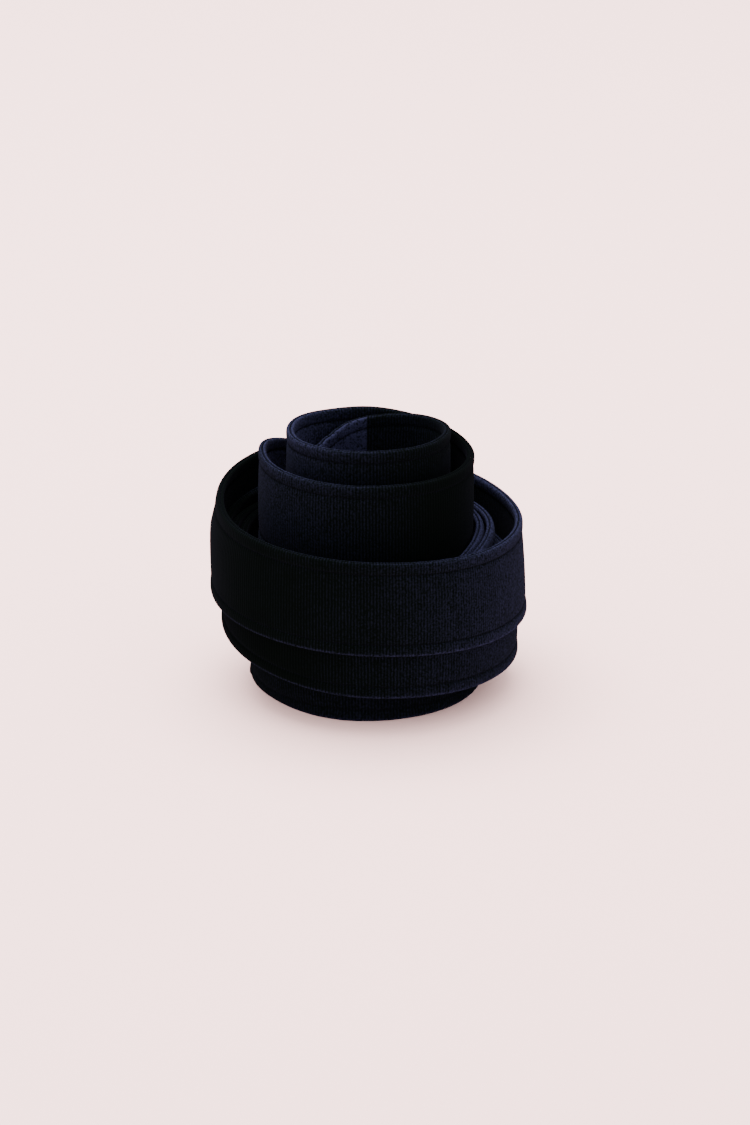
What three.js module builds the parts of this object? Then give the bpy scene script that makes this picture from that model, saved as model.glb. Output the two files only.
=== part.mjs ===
// Flat velvet hair band, rolled up and stood on its edge, with the inner turns of the roll
// drawn up into a tower. Millimetres, +Z up. The roll's axis is +Z and the origin lies on it,
// at the height of the surface that the lowest turn stands on. The front of the roll is -Y.
//
// The band is two velvet strips sewn together along both edges, with an interlining between
// them, a soft wire in the channel along each edge, and a row of topstitching that closes
// each channel. The roll can be pushed flat or drawn up further, so the inner turns are one
// rigid group and the outer turns another, and every strip is cut once, where the tower ends.

import * as THREE from 'three';

// The band, lying flat
const BAND_WIDTH = 25;
const VELVET_THICKNESS = 0.57; // backing cloth and pile
const WIRE_DIAMETER = 0.8;
const INTERLINING_THICKNESS = 0.76;
const STITCH_MARGIN = 3.1; // edge of the band to the row of topstitching
const STITCH_SINK = 0.2; // the stitches pull the velvet in by this much
const THREAD_WIDTH = 0.4;
const EDGE_ROUND = 0.8; // height over which the edge rolls over
const EDGE_ROLL = 0.45; // how much thinner the band is at the very edge

// Fits inside the band
const PLY_CLEARANCE = 0.08; // velvet to wire, velvet to interlining, thread to velvet
const SEAM_GAP = 0.1; // between the two strips where they meet at the edge
const INTERLINING_SETBACK = 0.4; // topstitching to the interlining's edge

// The roll
const STEPS_PER_TURN = 24;
const TURN_CLEARANCE = 0.25; // between turns that lie against each other
const CUT_GAP = 0.3; // between the inner and the outer turns' strips
const CUT_AT_TURN = 2.1; // turns from the inner end to that cut
const END_STITCH_INSET = 0.5; // share of the last step between a short end and its stitches

// Every turn starts at the left and runs by the back and the right to the front. Of each,
// base is the height of the lower edge and slack the air between it and the turn inside it.
// The innermost turn has radii instead, to the middle of the band.
const EYE = { radius: [13.95, 16.15, 20.25, 20.55], base: [33, 40.7, 43.6, 45] };
const TURNS = [
  { slack: [3.55, 1.85, 3.65, 3.75], base: [43.6, 42.1, 36.8, 38] },
  { slack: [4.75, 4.5, 0.15, 0.25], base: [38.2, 24, 0, 0] },
  { slack: [0.25, 0.3, 0.25, 0.25], base: [0, 0, 17, 12.5] },
  { slack: [0.05, 0.1, 0.35, 0.15], base: [15, 16, 17, 13.5] },
  { slack: [0, 0.1, 0.85, 0.15], base: [16, 14, 7.4, 9.8] },
  { slack: [0.1, 0.1, 0, 0.15], base: [16.2, 20, 19, 22.2] },
  { slack: [0.4, 0], base: [25.4, 29] },
];
const QUARTERS = 4;

// Half thicknesses of the band, from its middle plane
const cavityHalf = Math.max(WIRE_DIAMETER, INTERLINING_THICKNESS) / 2 + PLY_CLEARANCE;
const ridgeHalf = cavityHalf + VELVET_THICKNESS;
const panelHalf = ridgeHalf - STITCH_SINK;
const seamHalf = SEAM_GAP / 2;
const turnPitch = 2 * ridgeHalf + TURN_CLEARANCE;

// ---- The line that the band follows ----

// Radius and base height at every quarter turn, from the inner end to the outer end.
function quarterStations() {
  const radii = [...EYE.radius];
  const bases = [...EYE.base];
  for (const turn of TURNS) {
    turn.slack.forEach((slack, quarter) => {
      radii.push(radii[radii.length - QUARTERS] + turnPitch + slack);
      bases.push(turn.base[quarter]);
    });
  }
  return { radii, bases };
}

// Slope at a station that keeps the curve between its neighbours' heights.
function limitedSlope(before, after) {
  return before * after <= 0 ? 0 : (2 * before * after) / (before + after);
}

// Smooth value at a place on a list of evenly spaced values, without overshoot.
function along(values, place) {
  const last = values.length - 1;
  const i = Math.min(Math.floor(place), last - 1);
  const t = place - i;
  const step = (k) => values[k + 1] - values[k];
  const slopeAt = (k) => limitedSlope(step(Math.max(k - 1, 0)), step(Math.min(k, last - 1)));
  const t2 = t * t;
  const t3 = t2 * t;
  return (2 * t3 - 3 * t2 + 1) * values[i] + (t3 - 2 * t2 + t) * slopeAt(i)
    + (3 * t2 - 2 * t3) * values[i + 1] + (t3 - t2) * slopeAt(i + 1);
}

const line = quarterStations();
const endTurn = (line.radii.length - 1) / QUARTERS;

// Where a point of the band lies: turn counts from the inner end, offset goes outwards from
// the band's middle plane, and height goes up from its lower edge.
function bandPoint(turn, offset, height) {
  const angle = Math.PI - 2 * Math.PI * turn;
  const radius = along(line.radii, turn * QUARTERS) + offset;
  const z = along(line.bases, turn * QUARTERS) + height;
  return new THREE.Vector3(radius * Math.cos(angle), radius * Math.sin(angle), z);
}

// Stops along one stretch of band. All turns share the same directions, so that turns that
// lie against each other have parallel faces.
function stopsBetween(start, end) {
  const stops = [start];
  const margin = 0.25 / STEPS_PER_TURN;
  for (let k = Math.ceil(start * STEPS_PER_TURN); k / STEPS_PER_TURN < end; k += 1) {
    const stop = k / STEPS_PER_TURN;
    if (stop - start > margin && end - stop > margin) stops.push(stop);
  }
  stops.push(end);
  return stops;
}

const cutGapInTurns = CUT_GAP / (2 * Math.PI * along(line.radii, CUT_AT_TURN * QUARTERS));
const STRETCHES = {
  inner: { stops: stopsBetween(0, CUT_AT_TURN), freeEnd: 'first' },
  outer: { stops: stopsBetween(CUT_AT_TURN + cutGapInTurns, endTurn), freeEnd: 'last' },
};

// ---- Solids ----

// Closed solid through rings of points that all match one outline. The outline runs
// anticlockwise as seen by someone who looks back along the rings.
function closedSolid(rings, outline) {
  const count = outline.length;
  const faces = [];
  for (let ring = 0; ring + 1 < rings.length; ring += 1) {
    for (let k = 0; k < count; k += 1) {
      const a = ring * count + k;
      const b = ring * count + ((k + 1) % count);
      faces.push(a, b, b + count);
      faces.push(a, b + count, a + count);
    }
  }
  const lastRing = (rings.length - 1) * count;
  const flatOutline = outline.map(([x, y]) => new THREE.Vector2(x, y));
  for (const [a, b, c] of THREE.ShapeUtils.triangulateShape(flatOutline, [])) {
    faces.push(c, b, a);
    faces.push(lastRing + a, lastRing + b, lastRing + c);
  }
  const geometry = new THREE.BufferGeometry();
  const positions = rings.flat().flatMap((point) => point.toArray());
  geometry.setAttribute('position', new THREE.Float32BufferAttribute(positions, 3));
  geometry.setIndex(faces);
  geometry.computeVertexNormals();
  return geometry;
}

// Solid with one section, given as offsets and heights, along a stretch of the band.
function alongBand(stops, section) {
  const rings = stops.map((stop) => section.map(([offset, height]) => bandPoint(stop, offset, height)));
  return closedSolid(rings, section);
}

// Mirror image of a section on the other side of the band's middle plane.
function otherSide(section) {
  return section.map(([offset, height]) => [-offset, height]).reverse();
}

// The outer strip of velvet: it rolls over at both edges to meet the other strip, swells over
// the wire channels, and is drawn in along the topstitching.
function velvetSection() {
  const edge = ridgeHalf - EDGE_ROLL;
  const top = BAND_WIDTH;
  const cavityLow = VELVET_THICKNESS;
  const cavityFull = cavityLow + cavityHalf - seamHalf;
  const ridgeEnd = STITCH_MARGIN - STITCH_SINK;
  return [
    [seamHalf, 0], [edge, 0], [ridgeHalf, EDGE_ROUND], [ridgeHalf, ridgeEnd],
    [panelHalf, STITCH_MARGIN], [panelHalf, top - STITCH_MARGIN],
    [ridgeHalf, top - ridgeEnd], [ridgeHalf, top - EDGE_ROUND], [edge, top], [seamHalf, top],
    [seamHalf, top - cavityLow], [cavityHalf, top - cavityFull],
    [cavityHalf, cavityFull], [seamHalf, cavityLow],
  ];
}

function interliningSection() {
  const half = INTERLINING_THICKNESS / 2;
  const low = STITCH_MARGIN + INTERLINING_SETBACK;
  const high = BAND_WIDTH - low;
  return [[-half, low], [half, low], [half, high], [-half, high]];
}

// The wire lies in the middle of its channel.
function wireSection(fromTop) {
  const radius = WIRE_DIAMETER / 2;
  const inChannel = (VELVET_THICKNESS + STITCH_MARGIN) / 2;
  const height = fromTop ? BAND_WIDTH - inChannel : inChannel;
  return [[0, height - radius], [radius, height], [0, height + radius], [-radius, height]];
}

// The thread lies in the dip beside the channel, flush with the velvet on either side.
const threadSeat = panelHalf + PLY_CLEARANCE;

function topstitchSection(fromTop) {
  const low = STITCH_MARGIN + PLY_CLEARANCE;
  const base = fromTop ? BAND_WIDTH - low - THREAD_WIDTH : low;
  return [[threadSeat, base], [ridgeHalf, base + THREAD_WIDTH / 2], [threadSeat, base + THREAD_WIDTH]];
}

// Upright row of stitches that closes a short end, between the two rows of topstitching.
function endStitches(stops, freeEnd) {
  const [from, to] = freeEnd === 'first' ? stops.slice(0, 2) : stops.slice(-2);
  const width = THREAD_WIDTH / bandPoint(from, threadSeat, 0).distanceTo(bandPoint(to, threadSeat, 0));
  const section = [
    [END_STITCH_INSET - width / 2, threadSeat],
    [END_STITCH_INSET + width / 2, threadSeat],
    [END_STITCH_INSET, ridgeHalf],
  ];
  const low = STITCH_MARGIN + THREAD_WIDTH + 2 * PLY_CLEARANCE;
  const rings = [low, BAND_WIDTH - low].map((height) => section.map(([share, offset]) => (
    bandPoint(from, offset, height).lerp(bandPoint(to, offset, height), share)
  )));
  return closedSolid(rings, section);
}

// ---- Materials ----

const navyVelvet = () => new THREE.MeshStandardMaterial({ color: 0x10131f, roughness: 0.95, metalness: 0 });
const navyThread = () => new THREE.MeshStandardMaterial({ color: 0x161a2a, roughness: 0.7, metalness: 0 });
const interliningCloth = () => new THREE.MeshStandardMaterial({ color: 0x2a2c33, roughness: 0.9, metalness: 0 });
const softWire = () => new THREE.MeshStandardMaterial({ color: 0x8a8d90, roughness: 0.4, metalness: 1 });

// ---- The assembly ----

const headband = new THREE.Group();
headband.name = 'headband';

for (const [name, { stops, freeEnd }] of Object.entries(STRETCHES)) {
  const turns = new THREE.Group();
  turns.name = `${name}_turns`;
  const add = (piece, geometry, material) => {
    const mesh = new THREE.Mesh(geometry, material);
    mesh.name = `${name}_turns_${piece}`;
    turns.add(mesh);
  };
  add('face_velvet', alongBand(stops, velvetSection()), navyVelvet());
  add('back_velvet', alongBand(stops, otherSide(velvetSection())), navyVelvet());
  add('interlining', alongBand(stops, interliningSection()), interliningCloth());
  add('upper_wire', alongBand(stops, wireSection(true)), softWire());
  add('lower_wire', alongBand(stops, wireSection(false)), softWire());
  add('upper_topstitch', alongBand(stops, topstitchSection(true)), navyThread());
  add('lower_topstitch', alongBand(stops, topstitchSection(false)), navyThread());
  add('end_stitches', endStitches(stops, freeEnd), navyThread());
  headband.add(turns);
}

export default headband;
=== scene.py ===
import math

import bpy
import numpy as np
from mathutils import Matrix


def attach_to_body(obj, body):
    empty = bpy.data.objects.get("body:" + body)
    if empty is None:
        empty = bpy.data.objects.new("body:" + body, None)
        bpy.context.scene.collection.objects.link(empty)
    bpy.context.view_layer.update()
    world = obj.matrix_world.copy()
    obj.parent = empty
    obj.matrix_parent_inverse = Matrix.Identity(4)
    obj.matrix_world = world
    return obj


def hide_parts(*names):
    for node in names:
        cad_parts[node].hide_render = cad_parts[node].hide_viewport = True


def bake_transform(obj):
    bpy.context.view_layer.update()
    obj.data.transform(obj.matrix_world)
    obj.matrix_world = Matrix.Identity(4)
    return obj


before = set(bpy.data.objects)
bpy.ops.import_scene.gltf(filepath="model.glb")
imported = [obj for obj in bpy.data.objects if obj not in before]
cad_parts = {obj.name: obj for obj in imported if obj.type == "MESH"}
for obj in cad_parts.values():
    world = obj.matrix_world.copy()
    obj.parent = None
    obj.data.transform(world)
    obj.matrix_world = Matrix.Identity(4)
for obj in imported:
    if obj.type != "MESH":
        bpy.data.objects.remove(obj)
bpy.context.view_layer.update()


# ---- Camera -----------------------------------------------------------------------------
# A long lens well back and 22 degrees up, as for a product shot: the roll fills about two
# fifths of the width of an upright picture, a little left of its middle.

CAMERA_DISTANCE = 1.5
CAMERA_ELEVATION = math.radians(22.0)
PICTURE_HEIGHT_AT_ROLL = 0.290
SENSOR = 36.0
PICTURE_MIDDLE = (0.0020, 0.0, 0.0316)

lens = bpy.data.cameras.new("studio_camera")
lens.sensor_width = SENSOR
lens.lens = SENSOR * CAMERA_DISTANCE / PICTURE_HEIGHT_AT_ROLL
lens.clip_end = 50.0
camera = bpy.data.objects.new("studio_camera", lens)
camera.location = (
    PICTURE_MIDDLE[0],
    -CAMERA_DISTANCE * math.cos(CAMERA_ELEVATION),
    PICTURE_MIDDLE[2] + CAMERA_DISTANCE * math.sin(CAMERA_ELEVATION),
)
camera.rotation_euler = (math.pi / 2 - CAMERA_ELEVATION, 0.0, 0.0)
bpy.context.scene.collection.objects.link(camera)
bpy.context.scene.camera = camera


# ---- Studio -----------------------------------------------------------------------------
# A pale matt table under one large round softbox, high up behind and to the left, with an
# even fill from all round.

FLOOR_SIDE = 8.0
FLOOR_COLOUR = (0.80, 0.635, 0.622, 1.0)
LIGHT_COLOUR = (1.0, 0.80, 0.79)
FILL_STRENGTH = 3.3
KEY_PLACE = (-0.16, 0.30, 1.10)
KEY_SIZE = 1.2
KEY_POWER = 52.0

corner = FLOOR_SIDE / 2
table_mesh = bpy.data.meshes.new("table")
table_mesh.from_pydata(
    [(-corner, -corner, 0), (corner, -corner, 0), (corner, corner, 0), (-corner, corner, 0)],
    [],
    [(0, 1, 2, 3)],
)
table = bpy.data.objects.new("table", table_mesh)
bpy.context.scene.collection.objects.link(table)
table_finish = bpy.data.materials.new("matt_table")
table_finish.use_nodes = True
table_shader = table_finish.node_tree.nodes["Principled BSDF"]
table_shader.inputs["Base Color"].default_value = FLOOR_COLOUR
table_shader.inputs["Roughness"].default_value = 0.8
table_shader.inputs["Specular IOR Level"].default_value = 0.1
table.data.materials.append(table_finish)

world = bpy.data.worlds.new("studio_air")
world.use_nodes = True
fill = world.node_tree.nodes["Background"]
fill.inputs["Color"].default_value = (*LIGHT_COLOUR, 1.0)
fill.inputs["Strength"].default_value = FILL_STRENGTH
bpy.context.scene.world = world

key_light = bpy.data.lights.new("key_softbox", "AREA")
key_light.shape = "DISK"
key_light.size = KEY_SIZE
key_light.color = LIGHT_COLOUR
key_light.energy = KEY_POWER
key = bpy.data.objects.new("key_softbox", key_light)
key.location = KEY_PLACE
aim = np.array(PICTURE_MIDDLE) - np.array(KEY_PLACE)
key.rotation_euler = (
    math.atan2(math.hypot(aim[0], aim[1]), -aim[2]),
    0.0,
    math.atan2(aim[1], aim[0]) - math.pi / 2,
)
bpy.context.scene.collection.objects.link(key)


# ---- Face velvet ------------------------------------------------------------------------
# The strip of ribbed velvet that faces outwards. It is cut 25 mm wide plus seams, sewn to
# the back velvet along both edges and turned, so that each edge rolls over into the seam.

MM = 0.001
BAND_WIDTH = 25.0 * MM
VELVET_THICKNESS = 0.57 * MM
WIRE_DIAMETER = 0.8 * MM
INTERLINING_THICKNESS = 0.76 * MM
PLY_CLEARANCE = 0.08 * MM
STITCH_MARGIN = 3.1 * MM
TURN_CLEARANCE = 0.25 * MM
CUT_AT_TURN = 2.1
CLIMB_ENDS_AT_TURN = 2.5

cavity_half = max(WIRE_DIAMETER, INTERLINING_THICKNESS) / 2 + PLY_CLEARANCE
ridge_half = cavity_half + VELVET_THICKNESS
turn_pitch = 2 * ridge_half + TURN_CLEARANCE

# From the inner end outwards, at the left, back, right and front of each turn: the radius
# to the band's middle or the slack between this turn and the last, and the height of the
# band's lower edge. All in millimetres.
EYE_RADII = [13.95, 16.15, 20.25, 20.55]
EYE_BASES = [33.0, 40.7, 43.6, 45.0]
TURNS = [
    ([3.55, 1.85, 3.65, 3.75], [43.6, 42.1, 36.8, 38.0]),
    ([4.75, 4.5, 0.15, 0.25], [38.2, 24.0, 0.0, 0.0]),
    ([0.25, 0.3, 0.25, 0.25], [0.0, 0.0, 17.0, 12.5]),
    ([0.05, 0.1, 0.35, 0.15], [15.0, 16.0, 17.0, 13.5]),
    ([0.0, 0.1, 0.85, 0.15], [16.0, 14.0, 7.4, 9.8]),
    ([0.1, 0.1, 0.0, 0.15], [16.2, 20.0, 19.0, 22.2]),
    ([0.4, 0.0], [25.4, 29.0]),
]
QUARTERS = 4
STATIONS_PER_TURN = 240
CREASE_TURN = 0.25

quarter_radii = [radius * MM for radius in EYE_RADII]
quarter_bases = [base * MM for base in EYE_BASES]
for slacks, bases in TURNS:
    for slack, base in zip(slacks, bases):
        quarter_radii.append(quarter_radii[-QUARTERS] + turn_pitch + slack * MM)
        quarter_bases.append(base * MM)
END_TURN = (len(quarter_radii) - 1) / QUARTERS


def smooth_between(values, place):
    """Value at a place on evenly spaced values, smooth and never past its neighbours."""
    values = np.asarray(values)
    steps = np.diff(values)
    before = np.concatenate([steps[:1], steps])
    after = np.concatenate([steps, steps[-1:]])
    level = before * after <= 0
    total = np.where(level, 1.0, before + after)
    slopes = np.where(level, 0.0, 2 * before * after / total)
    i = np.minimum(np.floor(place).astype(int), len(values) - 2)
    t = place - i
    return (
        (2 * t**3 - 3 * t**2 + 1) * values[i]
        + (t**3 - 2 * t**2 + t) * slopes[i]
        + (3 * t**2 - 2 * t**3) * values[i + 1]
        + (t**3 - t**2) * slopes[i + 1]
    )


# The length of band from the inner end to each station, for the weave and the stitches.
all_turns = np.linspace(0.0, END_TURN, int(END_TURN * STATIONS_PER_TURN) + 1)
all_radii = smooth_between(quarter_radii, all_turns * QUARTERS)
step_lengths = 2 * np.pi * (all_radii[1:] + all_radii[:-1]) / 2 * np.diff(all_turns)
all_lengths = np.concatenate([[0.0], np.cumsum(step_lengths)])
BAND_LENGTH = float(all_lengths[-1])


def bump(value, middle, width):
    """A smooth rise to 1 at the middle that dies away on both sides of it."""
    return np.exp(-(((value - middle) / width) ** 2))


# What handling has done to the roll. Angles run from the right, negative in front, and a
# lean is how far the band moves in for each unit of height.
LONG_RIPPLE = 0.10 * MM
SHORT_RIPPLE = 0.06 * MM
OUTER_TURNS_START = 30.2 * MM
OUTER_LEAN = 0.045
OUTER_LEAN_HEIGHT = 30 * MM
LEFT_TOP_LEAN = 0.2
LEFT_TOP_HEIGHT = 42 * MM
FOOT_LEAN = 0.30
FOOT_HEIGHT = 5 * MM
FOOT_ANGLE = -2.57
RIGHT_TOP_LEAN = 0.175
RIGHT_TOP_HEIGHT = 30 * MM
RIGHT_TOP_ANGLE = -0.2
SHOULDER = 0.9 * MM
SHOULDER_TURN = 1.40
CREASE = 0.9 * MM
HOLLOW = 0.8 * MM
HOLLOW_TURN = 0.14
CRUMPLE = 0.35 * MM


def handling(turns, radii, angles, heights):
    """How far the rolled band stands off its plan line, alike for turns that touch."""
    around = np.arctan2(np.sin(angles), np.cos(angles))
    ripple = LONG_RIPPLE * np.sin(3 * around + heights / (9 * MM))
    ripple = ripple + SHORT_RIPPLE * np.sin(7 * around + 1.3)

    outside = np.clip((radii - OUTER_TURNS_START) / (1.2 * MM), 0, 1)
    above_lean = np.clip(heights - OUTER_LEAN_HEIGHT, -13 * MM, 20 * MM)
    lean = OUTER_LEAN * above_lean * (0.6 + 0.4 * np.cos(around))
    left_side = bump(np.abs(around), np.pi, 0.6)
    left_top = LEFT_TOP_LEAN * left_side * np.clip(heights - LEFT_TOP_HEIGHT, 0, 9 * MM)
    foot = FOOT_LEAN * bump(around, FOOT_ANGLE, 0.5) * np.clip(FOOT_HEIGHT - heights, 0, FOOT_HEIGHT)

    # the middle turns' upper edges lie against the tower on the right
    right_side = ((turns > 3.1) & (turns < 6.0)) * bump(around, RIGHT_TOP_ANGLE, 0.87)
    right_top = RIGHT_TOP_LEAN * right_side * np.clip(heights - RIGHT_TOP_HEIGHT, 0, 12 * MM)
    shoulder = SHOULDER * bump(turns, SHOULDER_TURN, 0.07)

    # the innermost turn is crumpled, with a crease where it turns in at the back
    eye = np.clip(1 - turns / 0.4, 0, 1)
    crease = CREASE * np.exp(-np.abs(turns - CREASE_TURN) / 0.02)
    crease = crease - HOLLOW * bump(turns, HOLLOW_TURN, 0.06)
    crumple = np.sin(heights / (1.5 * MM) + 95 * turns) * np.sin(70 * turns - heights / (3.1 * MM))
    leans = outside * (lean + left_top) + foot + right_top
    return ripple + shoulder + eye * (crease + CRUMPLE * crumple) - leans


# Where the band's height leaves its even climb: the turn, how wide the place is, how far.
UNEVEN_HEIGHTS = [
    (1.18, 0.07, -0.6 * MM),
    (3.41, 0.045, 3.6 * MM),
    (6.34, 0.09, 1.8 * MM),
]


def on_band(turns, offsets, across):
    """Points of the band, by turns from the inner end, offset outwards, and height from its edge."""
    angles = np.pi - 2 * np.pi * turns
    radii = smooth_between(quarter_radii, turns * QUARTERS)
    heights = smooth_between(quarter_bases, turns * QUARTERS) + across
    for turn, width, rise in UNEVEN_HEIGHTS:
        heights = heights + rise * bump(turns, turn, width)
    radii = radii + offsets + handling(turns, radii, angles, heights)
    return np.stack([radii * np.cos(angles), radii * np.sin(angles), heights], axis=-1)


def ringed_mesh(name, points, flat_lengths, flat_girths):
    """A closed mesh through rings of points, with its flat coordinates as the map 'band'."""
    rings, count = points.shape[:2]
    ring, k = np.meshgrid(np.arange(rings - 1), np.arange(count), indexing="ij")
    following = (k + 1) % count
    here, above = ring * count, (ring + 1) * count
    quads = np.stack([here + k, here + following, above + following, above + k], axis=-1)
    faces = quads.reshape(-1, 4).tolist()
    faces.append(list(range(count))[::-1])
    faces.append(list(range((rings - 1) * count, rings * count)))
    mesh = bpy.data.meshes.new(name)
    mesh.from_pydata(points.reshape(-1, 3).tolist(), [], faces)

    near, far = flat_lengths[ring], flat_lengths[ring + 1]
    left, right = flat_girths[k], flat_girths[k + 1]
    sides = np.stack([near, left, near, right, far, right, far, left], axis=-1).ravel()
    first_cap = np.stack([np.full(count, flat_lengths[0]), flat_girths[:-1][::-1]], axis=-1).ravel()
    last_cap = np.stack([np.full(count, flat_lengths[-1]), flat_girths[:-1]], axis=-1).ravel()
    flat = mesh.uv_layers.new(name="band")
    flat.data.foreach_set("uv", np.concatenate([sides, first_cap, last_cap]).astype(np.float32))

    smooth = np.ones(len(mesh.polygons), bool)
    smooth[-2:] = False
    mesh.polygons.foreach_set("use_smooth", smooth)
    mesh.update()
    piece = bpy.data.objects.new(name, mesh)
    bpy.context.scene.collection.objects.link(piece)
    return piece


def along_band(name, turns, section, narrowing=None):
    """A closed mesh with one section along part of the band, narrowed from place to place."""
    section = np.asarray(section)
    offsets = np.repeat(section[None, :, 0], len(turns), axis=0)
    if narrowing is not None:
        offsets = offsets * narrowing
    points = on_band(turns[:, None], offsets, section[None, :, 1])
    closed = np.vstack([section, section[:1]])
    girths = np.concatenate([[0.0], np.cumsum(np.linalg.norm(np.diff(closed, axis=0), axis=1))])
    return ringed_mesh(name, points, np.interp(turns, all_turns, all_lengths), girths)


SHORT_END_STOPS = np.array([0.08, 0.2, 0.35, 0.5, 0.65, 0.85, 1.1, 1.5]) * MM


def turns_between(start, end):
    """Stations along one stretch, closer together where a short end of the band is folded in."""
    stops = np.concatenate([SHORT_END_STOPS, BAND_LENGTH - SHORT_END_STOPS])
    folded = np.interp(stops, all_lengths, all_turns)
    stations = np.unique(np.concatenate([all_turns, folded]))
    inner = stations[(stations > start + 1e-6) & (stations < end - 1e-6)]
    return np.concatenate([[start], inner, [end]])


def from_short_end(turns):
    """How far along the band each station is from the nearer short end."""
    lengths = np.interp(turns, all_turns, all_lengths)
    return np.minimum(lengths, BAND_LENGTH - lengths)


# The tower slides with the inner turns and the outer turns stay; the climb runs from one to the other.
STRETCHES = {
    "tower": turns_between(0.0, CUT_AT_TURN),
    "climb": turns_between(CUT_AT_TURN, CLIMB_ENDS_AT_TURN),
    "outer": turns_between(CLIMB_ENDS_AT_TURN, END_TURN),
}


def attach(piece, stretch, node):
    """Tie a piece to the turns it moves with, in place of the plain node."""
    if stretch == "tower":
        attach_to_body(piece, "inner_turns")
        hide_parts(f"inner_turns_{node}")
        return
    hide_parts(f"outer_turns_{node}")
    if stretch == "outer":
        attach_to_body(piece, "outer_turns")
    else:
        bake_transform(piece)


# Half sections are lists of (across, offset from the middle plane), from the lower edge to
# the band's middle, in millimetres: the pile over the wire, in along the stitches, and out
# to the panel; and on the inside the seam, the wire's channel, and the interlining's.
EDGE_CREST = 0.42
SEAM_DEPTH = 0.55
SEAM_OFFSET = 0.012
ROLL_HEIGHT = 0.85
QUARTER_CIRCLE = np.linspace(0, np.pi / 2, 6)
OUTSIDE = [
    (1.10, 1.050), (1.40, 1.045), (1.75, 1.030), (2.10, 1.005), (2.40, 0.955), (2.65, 0.860),
    (2.85, 0.740), (3.00, 0.640), (3.10, 0.610), (3.20, 0.630), (3.35, 0.690), (3.55, 0.760),
    (3.80, 0.820), (4.20, 0.870), (4.80, 0.905), (6.00, 0.945), (8.00, 0.990), (10.2, 1.030),
]
INSIDE = [
    (0.90, 0.28), (1.25, 0.47), (1.60, 0.48), (2.40, 0.48), (2.80, 0.20), (2.98, 0.07),
    (3.22, 0.07), (3.36, 0.20), (3.46, 0.43), (4.20, 0.46),
]


def velvet_section():
    """Outline of the outer strip: lower seam, round the outside, upper seam, and back inside."""
    crest_to_ridge = ridge_half / MM - EDGE_CREST
    out_of_seam = [
        (SEAM_DEPTH * (1 - math.sin(a)), EDGE_CREST - (EDGE_CREST - SEAM_OFFSET) * math.cos(a))
        for a in QUARTER_CIRCLE[:-1]
    ]
    over_edge = [
        (ROLL_HEIGHT * (1 - math.cos(a)), EDGE_CREST + crest_to_ridge * math.sin(a))
        for a in QUARTER_CIRCLE
    ]
    lower = [(offset * MM, across * MM) for across, offset in out_of_seam + over_edge + OUTSIDE]
    upper = [(offset, BAND_WIDTH - across) for offset, across in reversed(lower)]
    inside_lower = [(offset * MM, across * MM) for across, offset in INSIDE]
    inside_upper = [(offset, BAND_WIDTH - across) for offset, across in inside_lower]
    middle = [(ridge_half, BAND_WIDTH / 2)]
    return lower + middle + upper + inside_upper + list(reversed(inside_lower))


def other_side(section):
    """The mirror image of a section, on the other side of the band."""
    return [(-offset, across) for offset, across in reversed(section)]


FOLDED_SHARE = 0.06
TURNED_IN = 1.2 * MM


def folded_ends(turns, section):
    """At a short end both velvets are turned in: outside rolls over, inside closes on the seam."""
    distance = from_short_end(turns)[:, None]
    rolled = np.sqrt(1 - np.clip(1 - distance / (ROLL_HEIGHT * MM), 0, 1) ** 2)
    outside = FOLDED_SHARE + (1 - FOLDED_SHARE) * rolled
    inside = np.clip((distance - VELVET_THICKNESS) / TURNED_IN, FOLDED_SHARE, 1)
    inner_points = 2 * len(INSIDE)
    is_inside = np.zeros(len(section), bool)
    if section[0][0] > 0:
        is_inside[-inner_points:] = True
    else:
        is_inside[:inner_points] = True
    return np.where(is_inside[None, :], inside, outside)


# Painted sheen and painted shade, at the left, back, right and front of each turn: high where
# a side is painted light, as velvet shows its sheen, and low, below 0 at the darkest, in painted shade.
FACE_PAINTED_LIGHT = [
    0.30, 0.02, -0.05, 0.06,
    0.29, -0.05, -0.22, 0.04,
    0.16, 0.08, 0.02, 0.06,
    0.00, 0.08, 0.38, 0.05,
    -0.40, 0.10, 0.38, 0.05,
    -0.40, 0.10, 0.24, 0.02,
    -0.22, 0.40, 0.32, 0.02,
    -0.12, 0.05,
]
BACK_PAINTED_LIGHT = [
    0.00, 0.08, 0.02, 0.08,
    0.80, 0.10, -0.25, 0.05,
    0.55, 0.08, 0.20, 0.08,
    0.05, 0.10, 0.55, 0.08,
    -0.40, 0.10, 0.55, 0.08,
    -0.40, 0.10, 0.30, 0.08,
    -0.30, 0.10, 0.00, 0.05,
    -0.15, 0.05,
]


# Painted highlights over the edges: across the fold, along the two crests beside the seam, and
# along the foot of each turn. Painted shade darkens the stitch grooves and the seam.
FOLD_GAIN = 1.6
CREST_WIDTH = 0.20
MOST_CREST = 0.4
FOOT_HEIGHT_LIT = 0.35
FOOT_WIDTH = 0.35
FOOT_GAIN = 0.35
GROOVE_SHADE_WIDTH = 0.30
SEAM_WIDTH = 0.28
GROOVE_SHADE_SHARE = 0.7


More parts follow.
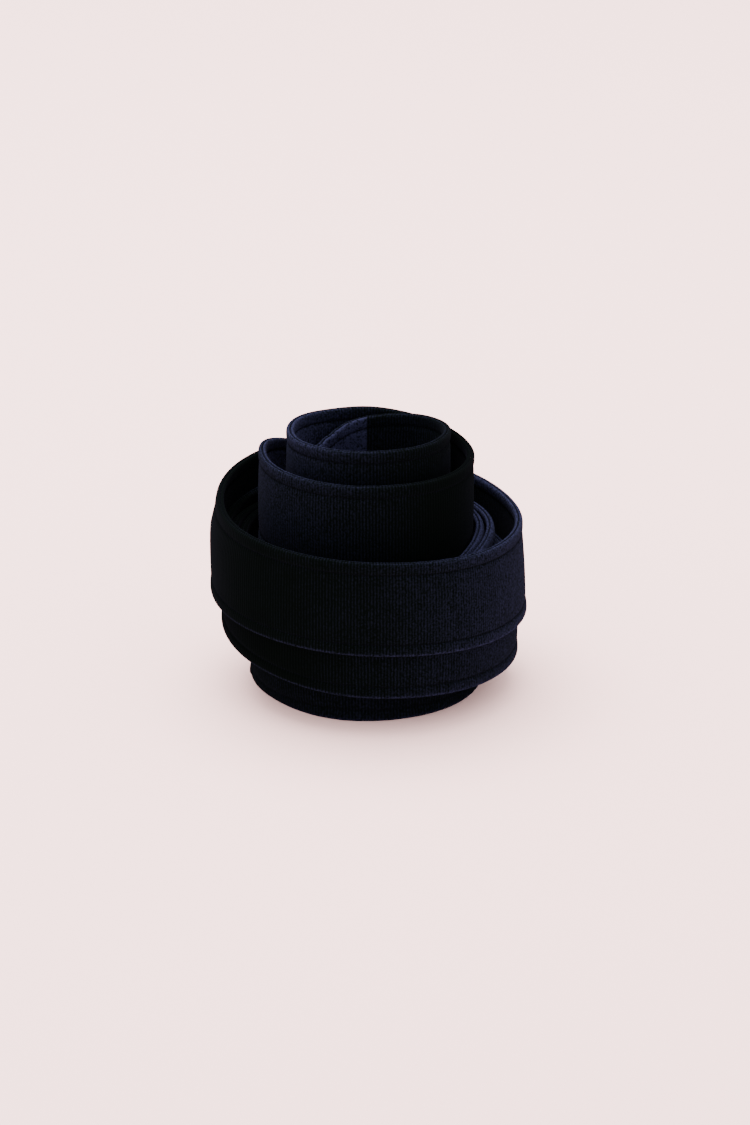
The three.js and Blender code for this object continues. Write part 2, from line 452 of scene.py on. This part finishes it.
def add_painted_light(piece, turns, section, stops, painted_sheen_patch, fold_width):
    """Store the painted sheen, highlights and shade at every point; widths and distances are in
    millimetres.
    """
    # painted sheen on each side of each turn, plus a painted sheen patch inside the innermost turn
    along = smooth_between(stops, turns * QUARTERS) + painted_sheen_patch * (turns < CREASE_TURN)
    edge_along = np.maximum(smooth_between(FACE_PAINTED_LIGHT, turns * QUARTERS), 0.5 * along)
    along, edge_along = along[:, None], edge_along[:, None]
    across = np.array([point[1] for point in section]) / MM
    from_edge = np.minimum(across, BAND_WIDTH / MM - across)
    from_middle = np.abs([point[0] for point in section]) / MM

    # painted highlights on the fold, the crests and the foot; painted shade at the stitches and the seam
    fold = bump(from_edge, 0, fold_width)
    crest = bump(from_middle, EDGE_CREST, CREST_WIDTH) * (from_edge < 0.3)
    foot = bump(across, FOOT_HEIGHT_LIT, FOOT_WIDTH) * (from_middle > EDGE_CREST)
    stitched = bump(from_edge, STITCH_MARGIN / MM, GROOVE_SHADE_WIDTH)
    groove_shade = np.maximum(stitched, bump(from_middle, 0, SEAM_WIDTH))
    values = along * (1 - fold) + FOLD_GAIN * edge_along * fold
    values = values + crest * np.clip(0.12 + 1.2 * edge_along, 0, MOST_CREST) + FOOT_GAIN * foot
    values = values * (1 - GROOVE_SHADE_SHARE * groove_shade)
    painted_light = piece.data.attributes.new("painted_light", "FLOAT", "POINT")
    painted_light.data.foreach_set("value", values.astype(np.float32).ravel())


# The rib runs across the band. The pile between is mussed at several scales, given here in
# waves to the metre.
RIB_PITCH = 0.8 * MM
RIB_WANDER = 300.0
TUFTS = 2600.0
CRUSH = 2200.0
HANDLED = 110.0
PILE_RELIEF = 0.12 * MM


def velvet_material(name):
    """Dark ribbed velvet with painted sheen and shade: lighter and bluer where the stored painted light is
    high.
    """
    material = bpy.data.materials.new(name)
    material.use_nodes = True
    nodes = material.node_tree.nodes
    links = material.node_tree.links
    shader = nodes["Principled BSDF"]
    shader.inputs["Roughness"].default_value = 0.95
    shader.inputs["Specular IOR Level"].default_value = 0.0
    shader.inputs["Sheen Weight"].default_value = 0.05
    shader.inputs["Sheen Roughness"].default_value = 0.5
    shader.inputs["Sheen Tint"].default_value = (0.08, 0.09, 0.14, 1.0)

    def calc(operation, a, b=0.0, c=0.0):
        node = nodes.new("ShaderNodeMath")
        node.operation = operation
        for socket, source in zip(node.inputs, (a, b, c)):
            if isinstance(source, (int, float)):
                socket.default_value = source
            else:
                links.new(source, socket)
        return node.outputs[0]

    def noise(scale, detail):
        node = nodes.new("ShaderNodeTexNoise")
        node.inputs["Scale"].default_value = scale
        node.inputs["Detail"].default_value = detail
        links.new(solid.outputs["Object"], node.inputs["Vector"])
        return calc("SUBTRACT", node.outputs["Fac"], 0.5)

    solid = nodes.new("ShaderNodeTexCoord")
    flat = nodes.new("ShaderNodeUVMap")
    flat.uv_map = "band"
    place = nodes.new("ShaderNodeSeparateXYZ")
    links.new(flat.outputs["UV"], place.inputs[0])
    painted_light = nodes.new("ShaderNodeAttribute")
    painted_light.attribute_name = "painted_light"

    wander = calc("MULTIPLY", noise(RIB_WANDER, 2.0), 2.5)
    phase = calc("MULTIPLY_ADD", place.outputs["X"], 2 * math.pi / RIB_PITCH, wander)
    rib = calc("MULTIPLY", calc("SINE", phase), 0.5)
    tufts = noise(TUFTS, 3.0)
    crush = noise(CRUSH, 2.0)
    handled = noise(HANDLED, 3.0)

    shag = calc("MULTIPLY_ADD", tufts, 0.55, calc("MULTIPLY", crush, 0.5))
    relief = nodes.new("ShaderNodeBump")
    relief.inputs["Strength"].default_value = 0.8
    relief.inputs["Distance"].default_value = PILE_RELIEF
    links.new(calc("MULTIPLY_ADD", rib, 0.45, shag), relief.inputs["Height"])
    links.new(relief.outputs["Normal"], shader.inputs["Normal"])

    # the stored painted sheen and shade, with random handling tone, sets the colour
    handling_and_painted_light = calc("MULTIPLY_ADD", handled, 0.10, painted_light.outputs["Fac"])
    ribs_and_painted_light = calc("MULTIPLY_ADD", rib, 0.19, handling_and_painted_light)
    crush_by_painted_light = calc("MULTIPLY", crush, calc("MULTIPLY_ADD", painted_light.outputs["Fac"], 4.5, 0.45))
    pile_and_painted_light = calc("ADD", crush_by_painted_light, ribs_and_painted_light)
    colour = nodes.new("ShaderNodeValToRGB")
    stops = colour.color_ramp.elements
    # the ramp runs from near black for painted shade to a bluer navy for painted sheen
    stops[0].color = (0.0002, 0.0006, 0.0004, 1.0)
    stops[1].color = (0.0098, 0.0124, 0.0305, 1.0)
    stops.new(0.25).color = (0.0008, 0.0015, 0.0012, 1.0)
    links.new(calc("MULTIPLY_ADD", pile_and_painted_light, 0.75, 0.25), colour.inputs["Fac"])
    links.new(colour.outputs["Color"], shader.inputs["Base Color"])
    return material


face_finish = velvet_material("navy_velvet_face")
face_section = velvet_section()

for stretch, turns in STRETCHES.items():
    piece = along_band(f"face_velvet_{stretch}", turns, face_section, folded_ends(turns, face_section))
    # the face velvet carries painted sheen, painted highlights and painted shade
    add_painted_light(piece, turns, face_section, FACE_PAINTED_LIGHT, painted_sheen_patch=0.0, fold_width=1.7)
    piece.data.materials.append(face_finish)
    attach(piece, stretch, "face_velvet")


# ---- Back velvet ------------------------------------------------------------------------
# The same ribbed velvet on the side that faces the roll's axis, a mirror image of the face
# strip, sewn to it along both edges.

back_finish = velvet_material("navy_velvet_back")
back_section = other_side(face_section)

for stretch, turns in STRETCHES.items():
    piece = along_band(f"back_velvet_{stretch}", turns, back_section, folded_ends(turns, back_section))
    # the back velvet carries painted sheen, highlights and shade, with a painted sheen patch inside the
    # innermost turn
    add_painted_light(piece, turns, back_section, BACK_PAINTED_LIGHT, painted_sheen_patch=0.8, fold_width=1.8)
    piece.data.materials.append(back_finish)
    attach(piece, stretch, "back_velvet")


# ---- Interlining ------------------------------------------------------------------------
# A plain woven cloth between the velvets, as wide as the space between the two rows of
# topstitching. It gives the band its body and is hidden all round.

INTERLINING_SETBACK = 0.4 * MM
FOLD_DEPTH = 1.8 * MM

cloth_finish = bpy.data.materials.new("charcoal_interlining")
cloth_finish.use_nodes = True
cloth_shader = cloth_finish.node_tree.nodes["Principled BSDF"]
cloth_shader.inputs["Base Color"].default_value = (0.022, 0.024, 0.032, 1.0)
cloth_shader.inputs["Roughness"].default_value = 0.9

cloth_half = INTERLINING_THICKNESS / 2
cloth_edge = STITCH_MARGIN + INTERLINING_SETBACK
cloth_heights = np.linspace(cloth_edge, BAND_WIDTH - cloth_edge, 9)
cloth_section = [(cloth_half, height) for height in cloth_heights]
cloth_section += [(-cloth_half, height) for height in cloth_heights[::-1]]

for stretch, turns in STRETCHES.items():
    inside = turns[from_short_end(turns) >= FOLD_DEPTH]
    piece = along_band(f"interlining_{stretch}", inside, cloth_section)
    piece.data.materials.append(cloth_finish)
    attach(piece, stretch, "interlining")


# ---- Upper and lower wire ---------------------------------------------------------------
# A soft round wire in the channel along each edge, between the seam and the topstitching.
# It can be bent and stays bent, which is what keeps the roll's edges round.

wire_finish = bpy.data.materials.new("soft_wire")
wire_finish.use_nodes = True
wire_shader = wire_finish.node_tree.nodes["Principled BSDF"]
wire_shader.inputs["Base Color"].default_value = (0.25, 0.26, 0.27, 1.0)
wire_shader.inputs["Metallic"].default_value = 1.0
wire_shader.inputs["Roughness"].default_value = 0.4

wire_height = (VELVET_THICKNESS + STITCH_MARGIN) / 2
circle = np.linspace(0, 2 * np.pi, 10, endpoint=False)

for edge, height in (("lower", wire_height), ("upper", BAND_WIDTH - wire_height)):
    wire_section = [
        (WIRE_DIAMETER / 2 * math.cos(a), height + WIRE_DIAMETER / 2 * math.sin(a)) for a in circle
    ]
    for stretch, turns in STRETCHES.items():
        inside = turns[from_short_end(turns) >= FOLD_DEPTH]
        piece = along_band(f"{edge}_wire_{stretch}", inside, wire_section)
        piece.data.materials.append(wire_finish)
        attach(piece, stretch, f"{edge}_wire")


# ---- Upper and lower topstitching -------------------------------------------------------
# A machine lockstitch through both velvets, 3.1 mm from each edge, which closes the wire's
# channel. One thread lies on the face and one on the back, and they cross inside the band.

STITCH_LENGTH = 2.4 * MM
THREAD_RADIUS = 0.09 * MM
THREAD_SEAT = 0.60 * MM
POINTS_PER_STITCH = 12
HOLE_SHARE = 0.14

thread_finish = bpy.data.materials.new("navy_thread")
thread_finish.use_nodes = True
thread_shader = thread_finish.node_tree.nodes["Principled BSDF"]
thread_shader.inputs["Base Color"].default_value = (0.0016, 0.0019, 0.0032, 1.0)
thread_shader.inputs["Roughness"].default_value = 0.7
thread_shader.inputs["Specular IOR Level"].default_value = 0.0


def thread_tube(name, path, radius):
    """A closed tube round a path of points; flat coordinates run along it and round it."""
    tangents = np.gradient(path, axis=0)
    tangents /= np.linalg.norm(tangents, axis=1, keepdims=True)
    sideways = np.cross(tangents, [0.0, 0.0, 1.0])
    sideways /= np.linalg.norm(sideways, axis=1, keepdims=True)
    upwards = np.cross(sideways, tangents)
    around = np.linspace(0, 2 * np.pi, 6, endpoint=False)
    points = (
        path[:, None, :]
        + radius * np.cos(around)[None, :, None] * sideways[:, None, :]
        + radius * np.sin(around)[None, :, None] * upwards[:, None, :]
    )
    lengths = np.concatenate([[0.0], np.cumsum(np.linalg.norm(np.diff(path, axis=0), axis=1))])
    girths = np.linspace(0, 2 * np.pi * radius, len(around) + 1)
    return ringed_mesh(name, points, lengths, girths)


def stitch_lift(lengths):
    """How far out the thread lies: down at each needle hole, flat on the velvet between."""
    share = (lengths / STITCH_LENGTH) % 1.0
    from_hole = np.minimum(share, 1.0 - share) / HOLE_SHARE
    return np.clip(from_hole, 0.0, 1.0) ** 0.6


for edge, height in (("lower", STITCH_MARGIN), ("upper", BAND_WIDTH - STITCH_MARGIN)):
    for stretch, turns in STRETCHES.items():
        start, end = np.interp(turns[[0, -1]], all_turns, all_lengths)
        start, end = max(start, ROLL_HEIGHT * MM), min(end, BAND_LENGTH - ROLL_HEIGHT * MM)
        count = int((end - start) / STITCH_LENGTH * POINTS_PER_STITCH)
        lengths = np.linspace(start, end, count + 1)
        stitch_turns = np.interp(lengths, all_lengths, all_turns)
        offsets = THREAD_RADIUS + (THREAD_SEAT - THREAD_RADIUS) * stitch_lift(lengths)
        for side, sign in (("face", 1), ("back", -1)):
            path = on_band(stitch_turns, sign * offsets, height)
            piece = thread_tube(f"{edge}_topstitch_{side}_{stretch}", path, THREAD_RADIUS)
            piece.data.materials.append(thread_finish)
            attach(piece, stretch, f"{edge}_topstitch")


# ---- End stitches -----------------------------------------------------------------------
# The short row that closes each short end of the band, on the face and on the back.

END_MARGIN = 2.2 * MM
STITCHES_ACROSS = 8

# How far the velvet stands off the band's middle plane, from one row of topstitching to the
# other, as (across, offset) in millimetres.
VELVET_OFFSETS = [(3.1, 0.6), (3.8, 0.84), (8.0, 1.0), (12.5, 1.06), (17.0, 1.0), (21.2, 0.84), (21.9, 0.6)]

across = np.linspace(STITCH_MARGIN, BAND_WIDTH - STITCH_MARGIN, STITCHES_ACROSS * POINTS_PER_STITCH + 1)
velvet_half = np.interp(across / MM, *zip(*VELVET_OFFSETS))
end_offsets = THREAD_RADIUS + velvet_half * MM * stitch_lift(across - STITCH_MARGIN)

for name, length in (("inner", END_MARGIN), ("outer", BAND_LENGTH - END_MARGIN)):
    turn = float(np.interp(length, all_lengths, all_turns))
    for side, sign in (("face", 1), ("back", -1)):
        path = on_band(np.full(len(across), turn), sign * end_offsets, across)
        piece = thread_tube(f"{name}_end_stitches_{side}", path, THREAD_RADIUS)
        piece.data.materials.append(thread_finish)
        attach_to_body(piece, f"{name}_turns")
        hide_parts(f"{name}_turns_end_stitches")
